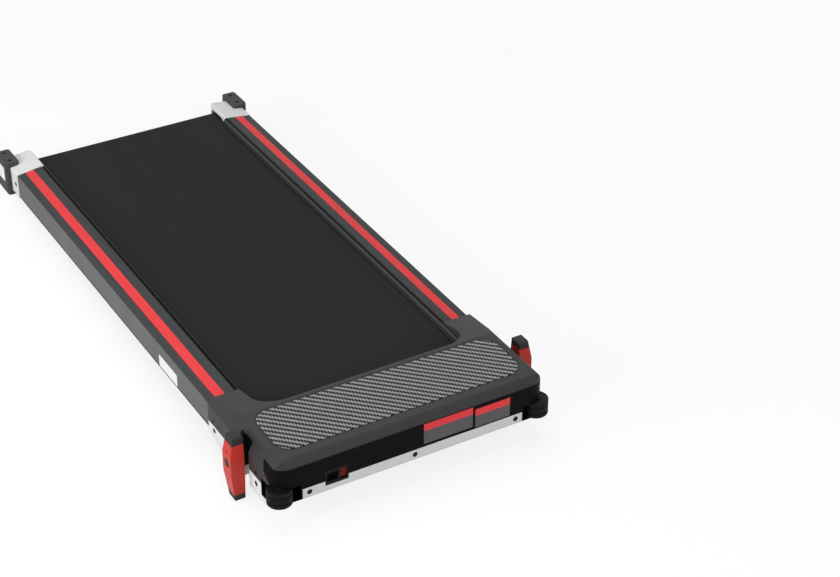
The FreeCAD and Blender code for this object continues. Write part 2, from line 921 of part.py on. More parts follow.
# The dark U-shaped plate let into the flat of the cover.
def cover_panel_body():
    half = cover_panel_half_width
    inner = half - cover_panel_arm_width
    front = half - cover_panel_slant
    inner_front = inner - cover_panel_slant
    right = [
        (front, cover_panel_front_y),
        (half, cover_panel_rear_y),
        (inner, cover_panel_rear_y),
        (inner_front, cover_panel_inner_y),
    ]
    left = [(-x, y) for x, y in reversed(right)]
    face = -cover_bottom - cover_panel_proud
    return prism_along_z(sharp(right + left), (face, face + cover_panel_thickness))


# A pale strip stuck to the ramp.
def ramp_strip():
    half = ramp_half_width - ramp_strip_margin
    run = ramp_rear_y - ramp_front_y
    rise = cover_bottom - ramp_rear_bottom
    length = math.hypot(run, rise)
    step_y = run / length * ramp_strip_margin
    step_z = rise / length * ramp_strip_margin
    skin_y = rise / length * ramp_strip_thickness
    skin_z = run / length * ramp_strip_thickness
    low = (ramp_front_y + step_y, -cover_bottom + step_z)
    high = (ramp_rear_y - step_y, -ramp_rear_bottom - step_z)
    corners = [low, high, (high[0] + skin_y, high[1] - skin_z), (low[0] + skin_y, low[1] - skin_z)]
    return prism_along_x(sharp(corners), (-half, half))


def screw(head_face, inward):
    head = rod(cover_screw_head_radius, head_face, head_face + inward * cover_screw_head_length)
    return head.fuse(rod(cover_screw_radius, head_face, head_face + inward * cover_screw_length))


# The screws of one shell's two sides, given as (y, z) spots.
def side_screws(spots):
    screws = []
    for y, z in spots:
        screws += both_sides(screw(Vector(shell_half, y, z), -across))
    return screws


def front_screws():
    z = cover_top_z - front_screw_drop
    return [screw(Vector(x, housing_front_y, z), along) for x in (-front_screw_reach, 0, front_screw_reach)]


def cover_screws():
    return Part.makeCompound(side_screws(hood_screw_spots + cover_screw_spots) + front_screws())


# A pressed pan with two side plates, whose tongues run into the rails.
def front_frame():
    pan = block((-plate_outer_x, plate_outer_x), (frame_front_y, frame_foot_rear_y), (floor_z, pan_top_z))
    tongue_floor = -rail_half + rail_wall
    corners = [
        (frame_front_y, floor_z),
        (frame_foot_rear_y, floor_z),
        (frame_neck_y, tongue_floor),
        (frame_tongue_rear_y, tongue_floor),
        (frame_tongue_rear_y, frame_plate_top),
        (frame_front_y, frame_plate_top),
    ]
    plate = prism_along_x(sharp(corners), (plate_inner_x, plate_outer_x))
    frame = pan.fuse(plate).fuse(mirrored(plate))
    tools = [axle(front_roller_y, plate_outer_x)] + both_sides(leg_bolt_hole())
    return cut_all(frame, tools).removeSplitter()


# A driven or driving pulley with a flange at each end of its belt track.
def pulley(y, z, radius, bore):
    start = Vector(pulley_left_x, y, z)
    end = Vector(pulley_right_x, y, z)
    flange_radius = radius + pulley_flange_height
    body = rod(radius, start, end)
    body = body.fuse(rod(flange_radius, start, start + across * pulley_flange))
    body = body.fuse(rod(flange_radius, end - across * pulley_flange, end))
    return body.cut(rod(bore, start, end)).removeSplitter()


def drive_belt():
    middle = (pulley_left_x + pulley_right_x) / 2
    span = (middle - drive_belt_width / 2, middle + drive_belt_width / 2)
    inner_first = (front_roller_y, 0, roller_pulley_radius + belt_gap)
    inner_second = (motor_y, motor_z, motor_pulley_radius + belt_gap)
    outer_first = (front_roller_y, 0, inner_first[2] + drive_belt_thickness)
    outer_second = (motor_y, motor_z, inner_second[2] + drive_belt_thickness)
    return loop_band(outer_first, outer_second, span).cut(loop_band(inner_first, inner_second, span))


# The motor's can with a stepped bell at each end, bored for the shaft.
def drive_motor():
    start = Vector(motor_left_x, motor_y, motor_z)
    end = Vector(motor_right_x, motor_y, motor_z)
    bell = across * motor_bell_length
    can = rod(motor_radius, start + bell, end - bell)
    can = can.fuse(rod(motor_radius - motor_bell_step, start, end))
    bore = rod(motor_shaft_radius + running_gap, start, end)
    return can.cut(bore).removeSplitter()


def motor_shaft():
    start = Vector(motor_left_x - motor_shaft_tail, motor_y, motor_z)
    return rod(motor_shaft_radius, start, Vector(pulley_right_x, motor_y, motor_z))


# A radial fan on the shaft's tail, clear of the motor's end bell.
def motor_fan():
    end_x = motor_left_x - fan_clearance
    start = Vector(end_x - fan_length, motor_y, motor_z)
    end = Vector(end_x, motor_y, motor_z)
    disc = rod(fan_radius, end - across * fan_blade_thickness, end)
    fan = disc.fuse(rod(fan_hub_radius, start, end))
    half = fan_blade_thickness / 2
    blade = block((start.x, end.x), (motor_y - half, motor_y + half), (motor_z, motor_z + fan_radius))
    for index in range(fan_blade_count):
        fan = fan.fuse(blade.rotated(end, across, 360 * index / fan_blade_count))
    return fan.cut(rod(motor_shaft_radius, start, end)).removeSplitter()


# A saddle between the pan and the motor.
def motor_cradle():
    top = motor_z - motor_radius * cradle_half_share
    saddle = block((cradle_left_x, cradle_right_x), (frame_front_y, frame_foot_rear_y), (pan_top_z, top))
    start = Vector(motor_left_x, motor_y, motor_z)
    return saddle.cut(rod(motor_radius, start, Vector(motor_right_x, motor_y, motor_z)))


# The controller's sealed box with a finned lid.
def motor_controller():
    y_span = (frame_front_y + controller_margin, frame_foot_rear_y - controller_margin)
    top = pan_top_z + controller_height
    box = block((controller_left_x, controller_right_x), y_span, (pan_top_z, top))
    step = (controller_right_x - controller_left_x - controller_fin_thickness) / (controller_fin_count - 1)
    for index in range(controller_fin_count):
        x = controller_left_x + index * step
        box = box.fuse(block((x, x + controller_fin_thickness), y_span, (top, top + controller_fin_height)))
    return box.removeSplitter()


def rocker_x_span():
    right = inlet_right_x - rocker_inset
    return (right - rocker_width, right)


def rocker_z():
    return (inlet_bottom_z + inlet_top_z) / 2


def rocker_y():
    return housing_front_y + rocker_depth / 2


# The inlet moulding: an open socket with two pins, and a window for the rocker.
def power_inlet():
    x_span = (inlet_left_x, inlet_right_x)
    body = block(x_span, (housing_front_y, inlet_rear_y), (inlet_bottom_z, inlet_top_z))
    left = inlet_left_x + socket_inset
    middle_z = rocker_z()
    socket_z = (middle_z - socket_height / 2, middle_z + socket_height / 2)
    floor_y = housing_front_y + socket_depth
    body = body.cut(block((left, left + socket_width), (housing_front_y - overrun, floor_y), socket_z))
    socket_x = left + socket_width / 2
    for x in (socket_x - socket_pin_spread, socket_x + socket_pin_spread):
        tip = Vector(x, floor_y - socket_pin_length, middle_z)
        body = body.fuse(rod(socket_pin_radius, tip, Vector(x, floor_y, middle_z)))
    room_x = (rocker_x_span()[0] - rocker_gap, rocker_x_span()[1] + rocker_gap)
    half = rocker_height / 2 + rocker_gap
    room_y = (housing_front_y - overrun, housing_front_y + rocker_room_depth)
    body = body.cut(block(room_x, room_y, (middle_z - half, middle_z + half)))
    pin_reach = rocker_pin_reach + rocker_pin_end_gap
    pin_start = Vector(rocker_x_span()[0] - pin_reach, rocker_y(), middle_z)
    pin_end = Vector(rocker_x_span()[1] + pin_reach, rocker_y(), middle_z)
    return body.cut(rod(rocker_pin_radius + running_gap, pin_start, pin_end)).removeSplitter()


# The rocker is drawn with its front in two flats, pressed in at its lower half.
def power_rocker():
    x_span = rocker_x_span()
    half = rocker_height / 2
    middle_z = rocker_z()
    lift = half * math.tan(math.radians(rocker_tilt))
    face = housing_front_y + rocker_gap
    corners = [
        (face, middle_z),
        (face, middle_z + half),
        (face + rocker_depth, middle_z + half - rocker_taper),
        (face + rocker_depth, middle_z - half + rocker_taper),
        (face + 2 * lift, middle_z - half),
    ]
    body = prism_along_x(sharp(corners), x_span)
    pin_start = Vector(x_span[0] - rocker_pin_reach, rocker_y(), middle_z)
    pin_end = Vector(x_span[1] + rocker_pin_reach, rocker_y(), middle_z)
    return body.fuse(rod(rocker_pin_radius, pin_start, pin_end)).removeSplitter()


def leg_bolt_hole():
    start = Vector(plate_inner_x - overrun, leg_y, leg_z)
    return rod(leg_bolt_radius, start, Vector(pocket_x, leg_y, leg_z))


# The black liner of a leg pocket, with the round hub that the leg turns on.
def right_leg_hub():
    z_span = (-cover_front_bottom, leg_pocket_top)
    y_span = (pocket_front_y, pocket_rear_y)
    inner_y = (pocket_front_y + leg_liner, pocket_rear_y - leg_liner)
    face_x = pocket_x + leg_liner_depth
    liner = block((pocket_x, face_x), y_span, z_span)
    liner = liner.cut(block((pocket_x + leg_liner, face_x), inner_y, z_span))
    start = Vector(pocket_x, leg_y, leg_z)
    end = Vector(leg_inner_x + leg_hub_sink - leg_hub_gap, leg_y, leg_z)
    hub = liner.fuse(rod(leg_hub_radius, start, end))
    return hub.cut(rod(leg_bolt_radius, start, end)).removeSplitter()


# The whole leg with its rubber ends: widest beside its pivot and tapered towards both ends.
def leg_whole():
    low = leg_z - leg_reach_down
    high = leg_z + leg_reach_up
    bow_low = leg_z - leg_reach_down * leg_straight_share
    bow_high = leg_z + leg_reach_up * leg_straight_share
    front_view = [
        (leg_inner_x, low, leg_edge_round),
        (leg_outer_x - leg_taper, low, leg_edge_round),
        (leg_outer_x, bow_low, leg_bow_round),
        (leg_outer_x, bow_high, leg_bow_round),
        (leg_outer_x - leg_taper, high, leg_edge_round),
        (leg_inner_x, high, leg_edge_round),
    ]
    half = leg_width / 2
    end_half = leg_end_width / 2
    side_view = [
        (leg_y - end_half, low, leg_pad_round),
        (leg_y + end_half, low, leg_pad_round),
        (leg_y + half, bow_low, leg_bow_round),
        (leg_y + half, bow_high, leg_bow_round),
        (leg_y + end_half, high, leg_pad_round),
        (leg_y - end_half, high, leg_pad_round),
        (leg_y - half, bow_high, leg_bow_round),
        (leg_y - half, bow_low, leg_bow_round),
    ]
    whole = prism_along_y(front_view, (leg_y - leg_width, leg_y + leg_width))
    return whole.common(prism_along_x(side_view, (leg_inner_x - overrun, leg_outer_x + overrun)))


def leg_bar_region():
    x_span = (leg_inner_x - overrun, leg_outer_x + overrun)
    z_span = (leg_z - leg_reach_down + leg_pad_length, leg_z + leg_reach_up - leg_pad_length)
    return block(x_span, (leg_y - leg_width, leg_y + leg_width), z_span)


# The red bar between the two rubber ends.
def right_leg():
    bar = leg_whole().common(leg_bar_region())
    axis_in = Vector(leg_inner_x - overrun, leg_y, leg_z)
    axis_out = Vector(leg_outer_x + overrun, leg_y, leg_z)
    sink_end = Vector(leg_inner_x + leg_hub_sink, leg_y, leg_z)
    bar = bar.cut(rod(leg_hub_radius + leg_hub_gap, axis_in, sink_end))
    bar = bar.cut(rod(leg_bolt_radius + running_gap, axis_in, axis_out))
    head_seat = leg_outer_x - leg_bolt_head_length - leg_bolt_head_room
    head_room = rod(
        leg_bolt_head_radius + leg_bolt_head_room,
        Vector(head_seat, leg_y, leg_z),
        axis_out,
    )
    bar = bar.cut(head_room)
    for step in (2, 3):
        z = leg_z + step * leg_dimple_pitch
        mouth = Vector(leg_outer_x + overrun, leg_y, z)
        bar = bar.cut(rod(leg_dimple_radius, mouth, Vector(leg_outer_x - leg_dimple_depth, leg_y, z)))
    return bar


def right_leg_pads():
    return Part.makeCompound(leg_whole().cut(leg_bar_region()).Solids)


# The pivot bolt runs from the nut behind the side plate to its head, sunk in the leg.
def right_leg_bolt():
    head_seat = leg_outer_x - leg_bolt_head_length
    tail = Vector(plate_inner_x - leg_bolt_tail, leg_y, leg_z)
    seat = Vector(head_seat, leg_y, leg_z)
    bolt = rod(leg_bolt_radius, tail, seat)
    bolt = bolt.fuse(rod(leg_bolt_head_radius, seat, Vector(leg_outer_x, leg_y, leg_z)))
    ring = []
    for corner in range(leg_nut_corners):
        turn = 2 * math.pi * corner / leg_nut_corners
        ring.append((leg_y + leg_nut_radius * math.cos(turn), leg_z + leg_nut_radius * math.sin(turn)))
    return bolt.fuse(prism_along_x(sharp(ring), (tail.x, plate_inner_x))).removeSplitter()


# The box round a corner wheel, closed at the back and open at the housing's corner.
def right_wheel_housing():
    x_span = (wheel_box_inner_x, shell_half + overrun)
    y_span = (housing_front_y - overrun, wheel_box_rear_y)
    upper = block(x_span, y_span, (hood_bottom_z, wheel_box_top)).common(hood_body(0))
    lower = block(x_span, y_span, (wheel_box_bottom, cover_top_z)).common(cover_body(0))
    seam = block(x_span, y_span, (cover_top_z, hood_bottom_z))
    corner_plan = cover_body(0).slice(upward, cover_top_z)
    seam = seam.common(Part.Face(corner_plan[0]).extrude(upward * seam_gap))
    box = upper.fuse(lower).fuse(seam)
    room = block(
        (wheel_box_inner_x + wheel_box_wall, shell_half + overrun),
        (housing_front_y - overrun, wheel_box_rear_y - wheel_box_wall),
        (wheel_room_bottom, wheel_room_top),
    )
    return box.cut(room).cut(right_wheel_axle()).removeSplitter()


def right_wheel_axle():
    low = Vector(wheel_x, wheel_y, wheel_box_bottom)
    high = Vector(wheel_x, wheel_y, wheel_box_top)
    pin = rod(wheel_axle_radius, low, high)
    return pin.fuse(rod(wheel_axle_head, high - upward * wheel_box_wall / 2, high)).removeSplitter()


# A grooved drum that turns on the upright axle.
def right_corner_wheel():
    low = Vector(wheel_x, wheel_y, wheel_bottom_z)
    high = Vector(wheel_x, wheel_y, wheel_top_z)
    drum = rod(wheel_radius, low, high)
    drum = soften(drum, wheel_edge_round, lambda box: box.ZLength < wheel_height / 2)
    for share in wheel_groove_shares:
        base = low + upward * (wheel_height * share - wheel_groove_width / 2)
        top = base + upward * wheel_groove_width
        drum = drum.cut(tube(wheel_radius + overrun, wheel_radius - wheel_groove_depth, base, top))
    return drum.cut(rod(wheel_axle_radius + running_gap, low, high))


# Pieces that touch the floor are trimmed level with it once the pad stands.
standing_trims = ("left_rear_foot", "right_rear_foot", "left_leg_pads", "right_leg_pads")

right_pieces = {
    "side_rail": right_rail(),
    "stripe": right_stripe(),
    "rear_cap": right_rear_cap(),
    "axle_block": right_axle_block(),
    "rear_foot": right_rear_foot(),
    "leg_hub": right_leg_hub(),
    "leg": right_leg(),
    "leg_pads": right_leg_pads(),
    "wheel_housing": right_wheel_housing(),
    "corner_wheel": right_corner_wheel(),
}
pieces = {
    "treadmill_deck": treadmill_deck(),
    "massage_deck": massage_deck(),
    "cross_members": cross_members(),
    "deck_cushions": deck_cushions(),
    "walking_belt": walking_belt(),
    "massage_nubs": massage_nubs(),
    "front_roller": roller(front_roller_y),
    "front_axle": axle(front_roller_y, plate_outer_x),
    "front_roller_bearings": roller_bearings(front_roller_y),
    "roller_pulley": pulley(front_roller_y, 0, roller_pulley_radius, roller_pulley_bore),
    "rear_roller": roller(rear_roller_y),
    "rear_axle": axle(rear_roller_y, rear_axle_half_length),
    "rear_roller_bearings": roller_bearings(rear_roller_y),
    "tension_bolts": Part.makeCompound(both_sides(right_tension_bolt())),
    "cap_screws": Part.makeCompound(both_sides(right_cap_screw())),
    "front_frame": front_frame(),
    "drive_motor": drive_motor(),
    "motor_shaft": motor_shaft(),
    "motor_pulley": pulley(motor_y, motor_z, motor_pulley_radius, motor_shaft_radius),
    "motor_fan": motor_fan(),
    "motor_cradle": motor_cradle(),
    "drive_belt": drive_belt(),
    "motor_controller": motor_controller(),
    "power_inlet": power_inlet(),
    "power_rocker": power_rocker(),
    "motor_hood": motor_hood(),
    "front_fascia": front_fascia(),
    "hood_panel": panel_body(),
    "bottom_cover": bottom_cover(),
    "bottom_panel": cover_panel_body(),
    "ramp_strip": ramp_strip(),
    "cover_screws": cover_screws(),
    "leg_pivot_bolts": Part.makeCompound(both_sides(right_leg_bolt())),
    "wheel_axles": Part.makeCompound(both_sides(right_wheel_axle())),
}
for name, shape in right_pieces.items():
    pieces["right_" + name] = shape
    pieces["left_" + name] = mirrored(shape)

# The floor touches the leg tips and the rear feet, so the pad stands with its front raised.
leg_sole_z = leg_z - leg_reach_down + sole_trim
foot_sole_z = -foot_half_height + sole_trim
stand_angle = math.degrees(math.atan2(foot_sole_z - leg_sole_z, foot_mid_y - leg_y))


def stand(shape):
    return shape.rotated(centre, across, -stand_angle)


def standing_point(x, y, z):
    return FreeCAD.Rotation(across, -stand_angle).multVec(Vector(x, y, z))


standing = {name: stand(shape) for name, shape in pieces.items()}
whole_box = Part.makeCompound(list(standing.values())).optimalBoundingBox(False, False)
floor_height = standing_point(0, leg_y, leg_sole_z).z
shift = Vector(0, -(whole_box.YMin + whole_box.YMax) / 2, -floor_height)
below_floor = block((-pad_width, pad_width), (whole_box.YMin, whole_box.YMax), (-overrun, 0))

os.makedirs("parts", exist_ok=True)
for name, shape in standing.items():
    placed = shape.translated(shift)
    if name in standing_trims:
        placed = placed.cut(below_floor.translated(Vector(0, shift.y, 0)))
        placed = Part.makeCompound(placed.Solids) if len(placed.Solids) > 1 else placed.Solids[0]
    placed.exportStep("parts/" + name + ".step")

# The joints' points and the standing angle, for whoever writes down how the pad moves.
print("stand angle", round(stand_angle, 5))
for label, spot in {
    "front_roller": (0, front_roller_y, 0),
    "rear_roller": (0, rear_roller_y, 0),
    "motor": (0, motor_y, motor_z),
    "right_leg": (leg_inner_x, leg_y, leg_z),
    "right_wheel": (wheel_x, wheel_y, wheel_bottom_z),
    "power_rocker": (rocker_x_span()[0], rocker_y(), rocker_z()),
    "rear_foot_sole": ((foot_inner_x + foot_outer_x) / 2, foot_mid_y, foot_sole_z),
}.items():
    point = standing_point(*spot) + shift
    print(label, [round(value, 4) for value in point])
print("pulley ratio", round(roller_pulley_radius / motor_pulley_radius, 5))
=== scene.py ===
import json
import math

import bmesh
import bpy
from mathutils import Matrix, Vector


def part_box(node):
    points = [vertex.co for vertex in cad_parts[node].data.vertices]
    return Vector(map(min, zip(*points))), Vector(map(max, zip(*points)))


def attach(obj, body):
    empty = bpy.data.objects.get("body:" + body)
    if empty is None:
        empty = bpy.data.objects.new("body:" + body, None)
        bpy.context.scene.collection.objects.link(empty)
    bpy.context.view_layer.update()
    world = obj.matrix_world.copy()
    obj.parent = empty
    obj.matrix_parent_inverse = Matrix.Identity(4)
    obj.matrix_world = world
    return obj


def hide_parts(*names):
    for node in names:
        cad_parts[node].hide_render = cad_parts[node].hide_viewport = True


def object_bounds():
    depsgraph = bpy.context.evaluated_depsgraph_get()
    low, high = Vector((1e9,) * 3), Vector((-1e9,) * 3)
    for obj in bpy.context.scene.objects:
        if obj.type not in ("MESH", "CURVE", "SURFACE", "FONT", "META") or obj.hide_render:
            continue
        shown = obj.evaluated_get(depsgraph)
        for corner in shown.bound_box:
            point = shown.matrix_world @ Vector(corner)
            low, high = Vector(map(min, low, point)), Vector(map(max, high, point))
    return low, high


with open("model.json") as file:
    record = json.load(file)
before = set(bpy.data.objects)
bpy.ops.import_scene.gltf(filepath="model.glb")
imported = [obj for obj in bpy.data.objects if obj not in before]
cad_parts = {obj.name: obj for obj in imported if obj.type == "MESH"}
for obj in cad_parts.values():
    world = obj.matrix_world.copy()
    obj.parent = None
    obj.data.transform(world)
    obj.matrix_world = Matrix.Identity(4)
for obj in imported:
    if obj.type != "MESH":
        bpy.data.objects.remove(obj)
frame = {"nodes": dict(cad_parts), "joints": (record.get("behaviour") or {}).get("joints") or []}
cad_low, cad_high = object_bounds()

# The pad stands on its legs with its front raised, so its own axes lean a little from the floor's.
# The upright wheel axle gives that lean. Pieces and patterns below are laid out on the level pad,
# with y from the hood's rear edge towards the rear end and z from the rails' middle plane.
joints = {joint["name"]: joint for joint in frame["joints"]}
upright = joints["left_wheel_spin"]["axis"]
lean = math.atan2(upright[1], upright[2])
lean_turn = Matrix.Rotation(-lean, 4, "X")
front_roller_y = -0.112
front_roller_place = Vector(joints["front_roller_spin"]["pos_m"])
pad_origin = front_roller_place - lean_turn @ Vector((0.0, front_roller_y, 0.0))
pad_to_floor = Matrix.Translation(pad_origin) @ lean_turn
level_shift = -(lean_turn.inverted() @ pad_origin)

# Side rails: extruded aluminium in a satin dark grey coat, one along each side of the belt.
# The die leaves faint lines along their length, and the coat is painted paler on the edges, partly rubbed
# wear and partly a painted highlight.
# The front frame's tongues and the rear caps plug into their hollows.
rail_grey = (0.047, 0.0485, 0.0495)
# Paler edge colour: partly rubbed wear, partly a painted highlight.
rail_edge_wear_and_highlight = (0.15, 0.153, 0.156)
rail_edge_round = 0.0012
rail_patch_scale = 14.0
die_line_stretch = (420.0, 3.0, 420.0)
# Black painted shade for the grooves along the crest and low on the outer face.
groove_shade_black = (0.002, 0.002, 0.002)
crest_shade_x = 0.20525
crest_shade_reach = 0.00275
# Near black painted shade for the lip under the crest.
lip_shade_black = (0.018, 0.018, 0.0185)
lip_foot_x = 0.1995
# Paler grey for the outer faces: painted light from the side.
side_painted_light = (0.116, 0.120, 0.119)
side_face_x = 0.2594
side_shade_x = 0.2585
side_shade_top_z = -0.0223
cloud_low = 0.3
cloud_high = 0.7
cloud_roughness = 0.6
edge_begins = 0.97
edge_full = 0.72
edge_samples = 4
grain_strength = 0.5


def new_finish(name, specular=0.5, rough=0.5):
    material = bpy.data.materials.new(name)
    material.use_nodes = True
    shader = material.node_tree.nodes["Principled BSDF"]
    shader.inputs["Specular IOR Level"].default_value = specular
    shader.inputs["Roughness"].default_value = rough
    return material, shader


def add_node(owner, kind, inputs, **settings):
    node = owner.node_tree.nodes.new("ShaderNode" + kind)
    for setting, value in settings.items():
        setattr(node, setting, value)
    for name, value in inputs.items():
        if isinstance(value, bpy.types.NodeSocket):
            owner.node_tree.links.new(value, node.inputs[name])
        else:
            node.inputs[name].default_value = value
    return node


def join(owner, source, target):
    owner.node_tree.links.new(source, target)


def compute(owner, operation, *values):
    return add_node(owner, "Math", dict(enumerate(values)), operation=operation).outputs[0]


def map_range(material, value, low, high, to_low=0.0, to_high=1.0):
    limits = {"Value": value, "From Min": low, "From Max": high, "To Min": to_low, "To Max": to_high}
    return add_node(material, "MapRange", limits).outputs["Result"]


def pad_coordinates(material, stretch=(1.0, 1.0, 1.0), turn=0.0):
    place = add_node(material, "TexCoord", {}).outputs["Object"]
    to_level = {"Vector": place, "Location": level_shift, "Rotation": (lean, 0.0, 0.0)}
    level = add_node(material, "Mapping", to_level).outputs["Vector"]
    to_pattern = {"Vector": level, "Rotation": (0.0, 0.0, turn), "Scale": stretch}
    return add_node(material, "Mapping", to_pattern).outputs["Vector"]


def cloudy(material, coords, scale=1.0, detail=4.0):
    inputs = {"Vector": coords, "Scale": scale, "Detail": detail, "Roughness": cloud_roughness}
    return add_node(material, "TexNoise", inputs).outputs["Fac"]


def opaque(colour):
    return (*colour, 1.0)


def shade(colour, factor):
    return tuple(min(1.0, channel * factor) for channel in colour)


def blend_colours(material, share, stops):
    ramp = add_node(material, "ValToRGB", {"Fac": share})
    for element, (position, colour) in zip(ramp.color_ramp.elements, stops):
        element.position = position
        element.color = opaque(colour)
    return ramp.outputs["Color"]


def mottle(material, share, colour, darker, lighter, low=cloud_low, high=cloud_high):
    return blend_colours(material, share, [(low, shade(colour, darker)), (high, shade(colour, lighter))])


def mix_colours(material, share, first, second):
    # Inputs 6 and 7 and output 2 are the Mix node's colour sockets.
    return add_node(material, "Mix", {0: share, 6: first, 7: second}, data_type="RGBA").outputs[2]


def soft_normal(material, radius):
    return add_node(material, "Bevel", {"Radius": radius}, samples=edge_samples).outputs["Normal"]


def edge_share(material, soft):
    flat = add_node(material, "NewGeometry", {}).outputs["True Normal"]
    facing = add_node(material, "VectorMath", {0: soft, 1: flat}, operation="DOT_PRODUCT")
    return map_range(material, facing.outputs["Value"], edge_begins, edge_full)


def set_grain(material, shader, height, depth, normal):
    inputs = {"Height": height, "Strength": grain_strength, "Distance": depth, "Normal": normal}
    join(material, add_node(material, "Bump", inputs).outputs["Normal"], shader.inputs["Normal"])


def vary_roughness(material, shader, share, smoothest, roughest):
    rough = map_range(material, share, cloud_low, cloud_high, smoothest, roughest)
    join(material, rough, shader.inputs["Roughness"])


def coat_nodes(material, *names):
    for name in names:
        frame["nodes"][name].data.materials.clear()
        frame["nodes"][name].data.materials.append(material)


def rail_coat():
    material, shader = new_finish("rail_coat", specular=0.06)
    lines = cloudy(material, pad_coordinates(material, die_line_stretch), detail=2.0)
    patches = cloudy(material, pad_coordinates(material), rail_patch_scale)
    soft = soft_normal(material, rail_edge_round)
    edges = edge_share(material, soft)
    coat = mottle(material, lines, rail_grey, darker=0.86, lighter=1.14)
    # The edges are painted paler: partly rubbed wear, partly a painted highlight.
    coat = mix_colours(material, edges, coat, opaque(rail_edge_wear_and_highlight))
    place = add_node(material, "SeparateXYZ", {"Vector": pad_coordinates(material)})
    height = place.outputs["Z"]
    offset = compute(material, "ABSOLUTE", place.outputs["X"])
    # Painted light: the outer faces, away from their edges, are painted paler than the tops, standing for the
    # light that falls on them from the side.
    on_side = compute(material, "GREATER_THAN", offset, side_face_x)
    off_edges = compute(material, "SUBTRACT", 1.0, edges)
    side_light_share = compute(material, "MULTIPLY", on_side, off_edges)
    coat = mix_colours(material, side_light_share, coat, opaque(side_painted_light))
    # Painted shade: the groove along the crest, with the crest itself, and the groove low on the outer face
    # down to the bottom edge, are painted black, standing for the shadow in them.
    in_crest = compute(material, "COMPARE", offset, crest_shade_x, crest_shade_reach)
    high_up = compute(material, "GREATER_THAN", height, 0.0)
    crest_shade = compute(material, "MULTIPLY", in_crest, high_up)
    low_down = compute(material, "LESS_THAN", height, side_shade_top_z)
    far_out = compute(material, "GREATER_THAN", offset, side_shade_x)
    side_shade = compute(material, "MULTIPLY", low_down, far_out)
    groove_shades = compute(material, "MAXIMUM", crest_shade, side_shade)
    coat = mix_colours(material, groove_shades, coat, opaque(groove_shade_black))
    # Painted shade: the lip under the crest, next to the belt, is painted near black, standing for the shade
    # on it.
    on_lip = compute(material, "LESS_THAN", offset, lip_foot_x)
    coat = mix_colours(material, on_lip, coat, opaque(lip_shade_black))
    join(material, coat, shader.inputs["Base Color"])
    vary_roughness(material, shader, patches, smoothest=0.36, roughest=0.5)
    set_grain(material, shader, lines, depth=0.00012, normal=soft)
    return material


coat_nodes(rail_coat(), "left_side_rail", "right_side_rail")

# Red stripes: smooth plastic strips pressed into the shallow recess in each rail's sloping top.
# They are the one bright colour on top, with a soft gloss and faint mould flow along them.
stripe_red = (0.71, 0.046, 0.050)
stripe_flow_stretch = (160.0, 9.0, 160.0)
stripe_edge_round = 0.0004


def stripe_plastic():
    material, shader = new_finish("stripe_plastic", specular=0.15)
    flow = cloudy(material, pad_coordinates(material, stripe_flow_stretch), detail=3.0)
    base = mottle(material, flow, stripe_red, darker=0.9, lighter=1.08, low=0.25, high=0.75)
    join(material, base, shader.inputs["Base Color"])
    vary_roughness(material, shader, flow, smoothest=0.4, roughest=0.52)
    set_grain(material, shader, flow, depth=0.00008, normal=soft_normal(material, stripe_edge_round))
    return material


coat_nodes(stripe_plastic(), "left_stripe", "right_stripe")

# Cross members: painted steel tubes from rail to rail, inside the belt's loop, with the front frame's
# pan and side plates in the same black paint. They carry the decks and the drive.
paint_black = (0.009, 0.009, 0.0095)
patch_scale = 22.0
roughness_swing = 0.06


def grained_finish(
    name, colour, rough, grain_size, grain_depth, edge_round, edge_wear_and_highlight=1.7, specular=0.5, patch=0.1
):
    material, shader = new_finish(name, specular)
    coords = pad_coordinates(material)
    patches = cloudy(material, coords, patch_scale)
    grain = cloudy(material, coords, 1.0 / grain_size, detail=2.0)
    base = mottle(material, patches, colour, darker=1.0 - patch, lighter=1.0 + patch)
    soft = soft_normal(material, edge_round)
    # Edges are painted paler: rubbed wear, and on the hood a painted highlight too.
    worn_and_highlit = mix_colours(material, edge_share(material, soft), base, opaque(shade(colour, edge_wear_and_highlight)))
    join(material, worn_and_highlit, shader.inputs["Base Color"])
    vary_roughness(material, shader, patches, rough - roughness_swing, rough + roughness_swing)
    set_grain(material, shader, grain, grain_depth, soft)
    return material


frame_paint = grained_finish(
    "frame_paint", paint_black, rough=0.4, grain_size=0.0012, grain_depth=0.00006, edge_round=0.0008
)
coat_nodes(frame_paint, "cross_members", "front_frame", "motor_cradle")

# Decks: laminated boards under both runs of the belt, waxed so that the belt slides on them.
# Rubber cushions carry the treadmill deck on the cross members. The drive belt is the same rubber.
board_brown = (0.20, 0.125, 0.07)
board_grain_stretch = (90.0, 6.0, 90.0)
board_edge_round = 0.0006
cushion_black = (0.022, 0.022, 0.023)


def deck_board():
    material, shader = new_finish("deck_board", rough=0.5)
    grain = cloudy(material, pad_coordinates(material, board_grain_stretch), detail=6.0)
    base = mottle(material, grain, board_brown, darker=0.6, lighter=1.3)
    join(material, base, shader.inputs["Base Color"])
    set_grain(material, shader, grain, depth=0.0002, normal=soft_normal(material, board_edge_round))
    return material


coat_nodes(deck_board(), "treadmill_deck", "massage_deck")
soft_rubber = grained_finish(
    "soft_rubber", cushion_black, rough=0.7, grain_size=0.0009, grain_depth=0.0002, edge_round=0.0012,
    edge_wear_and_highlight=1.9, specular=0.35,
)
coat_nodes(soft_rubber, "deck_cushions", "drive_belt")

# Walking belt: a black endless belt with a fine pebbled face, round both rollers.
# Its face is dull, with long soft rub marks where feet fall, and its edges are cut square.
belt_black = (0.0165, 0.0165, 0.0167)
belt_edge_round = 0.0006
pebble_size = 0.0014
rub_stretch = (9.0, 1.6, 9.0)


